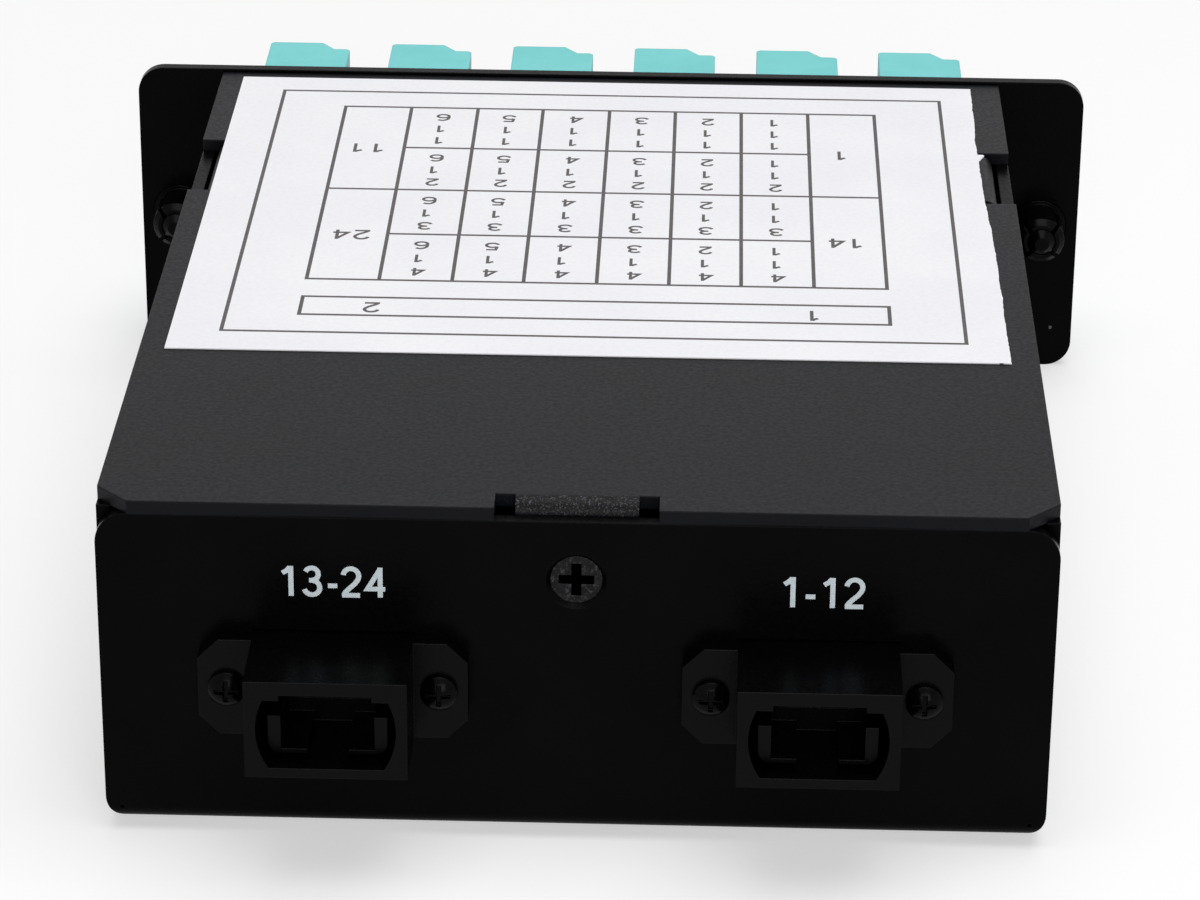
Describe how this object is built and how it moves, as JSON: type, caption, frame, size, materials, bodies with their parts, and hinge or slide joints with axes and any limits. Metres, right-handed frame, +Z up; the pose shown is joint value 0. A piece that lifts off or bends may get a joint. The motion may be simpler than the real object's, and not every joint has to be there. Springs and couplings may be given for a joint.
{
  "type": "fibre cassette",
  "caption": "Flat fibre cassette: multi-fibre adapters at the rear break out to columns of LC ports in the front panel, with push-pull latches in its ears.",
  "frame": {"origin": "bottom centre of the overall bounding box, on the plane of the ears' lower edges", "axes": "+Y from the rear wall to the front panel and its LC ports, +Z up through the cover, +X to the right seen from the rear"},
  "size_m": [0.106, 0.1406, 0.0343],
  "materials": {
    "tray_coat": "black powder coat, fine texture",
    "cover_coat": "black powder coat, fine texture",
    "label_film": "white polyester label, matt, printed",
    "black_screw": "black zinc plate",
    "mpo_housing": "moulded black thermoplastic",
    "plug_aqua": "moulded aqua thermoplastic",
    "mt_ferrule": "moulded glass-filled resin",
    "boot_rubber": "moulded soft boot",
    "fibre_jacket": "aqua tube jacket",
    "fanout_plastic": "moulded black thermoplastic",
    "plated_steel": "bright zinc plate",
    "adapter_aqua": "moulded aqua thermoplastic, satin",
    "spring_steel": "bright stainless spring strip",
    "plug_beige": "moulded beige thermoplastic",
    "zirconia": "ground white zirconia",
    "latch_nylon": "moulded black nylon, glossy"
  },
  "bodies": {
    "case": {"base_tray": "tray_coat", "cover": "cover_coat", "cover_label": "label_film", "cover_screw": "black_screw", "mpo_adapter_left": "mpo_housing", "mpo_plug_left": "plug_aqua", "mpo_ferrule_left": "mt_ferrule", "mpo_boot_left": "boot_rubber", "trunk_tube_left": "fibre_jacket", "fanout_block_left": "fanout_plastic", "fanout_cradle_left": "fanout_plastic", "mpo_adapter_right": "mpo_housing", "mpo_plug_right": "plug_aqua", "mpo_ferrule_right": "mt_ferrule", "mpo_boot_right": "boot_rubber", "trunk_tube_right": "fibre_jacket", "fanout_block_right": "fanout_plastic", "fanout_cradle_right": "fanout_plastic", "mpo_adapter_screws": "black_screw", "mpo_adapter_nuts": "plated_steel", "lc_adapter_1": "adapter_aqua", "lc_clip_1": "spring_steel", "lc_plugs_1": "plug_beige", "lc_boots_1": "boot_rubber", "fibres_1": "fibre_jacket", "lc_adapter_2": "adapter_aqua", "lc_clip_2": "spring_steel", "lc_plugs_2": "plug_beige", "lc_boots_2": "boot_rubber", "fibres_2": "fibre_jacket", "lc_adapter_3": "adapter_aqua", "lc_clip_3": "spring_steel", "lc_plugs_3": "plug_beige", "lc_boots_3": "boot_rubber", "fibres_3": "fibre_jacket", "lc_adapter_4": "adapter_aqua", "lc_clip_4": "spring_steel", "lc_plugs_4": "plug_beige", "lc_boots_4": "boot_rubber", "fibres_4": "fibre_jacket", "lc_adapter_5": "adapter_aqua", "lc_clip_5": "spring_steel", "lc_plugs_5": "plug_beige", "lc_boots_5": "boot_rubber", "fibres_5": "fibre_jacket", "lc_adapter_6": "adapter_aqua", "lc_clip_6": "spring_steel", "lc_plugs_6": "plug_beige", "lc_boots_6": "boot_rubber", "fibres_6": "fibre_jacket", "lc_sleeve_holders": "adapter_aqua", "alignment_sleeves": "zirconia", "lc_ferrules": "zirconia", "latch_grommet_left": "latch_nylon", "latch_grommet_right": "latch_nylon"},
    "plunger_left": {"latch_plunger_left": "latch_nylon"},
    "plunger_right": {"latch_plunger_right": "latch_nylon"}
  },
  "joints": [
    {"name": "plunger_slide_left", "type": "slide", "parent": "case", "child": "plunger_left", "axis": [0, 1, 0], "range_m": [0, 0.006]},
    {"name": "plunger_slide_right", "type": "slide", "parent": "case", "child": "plunger_right", "axis": [0, 1, 0], "range_m": [0, 0.006]}
  ]
}
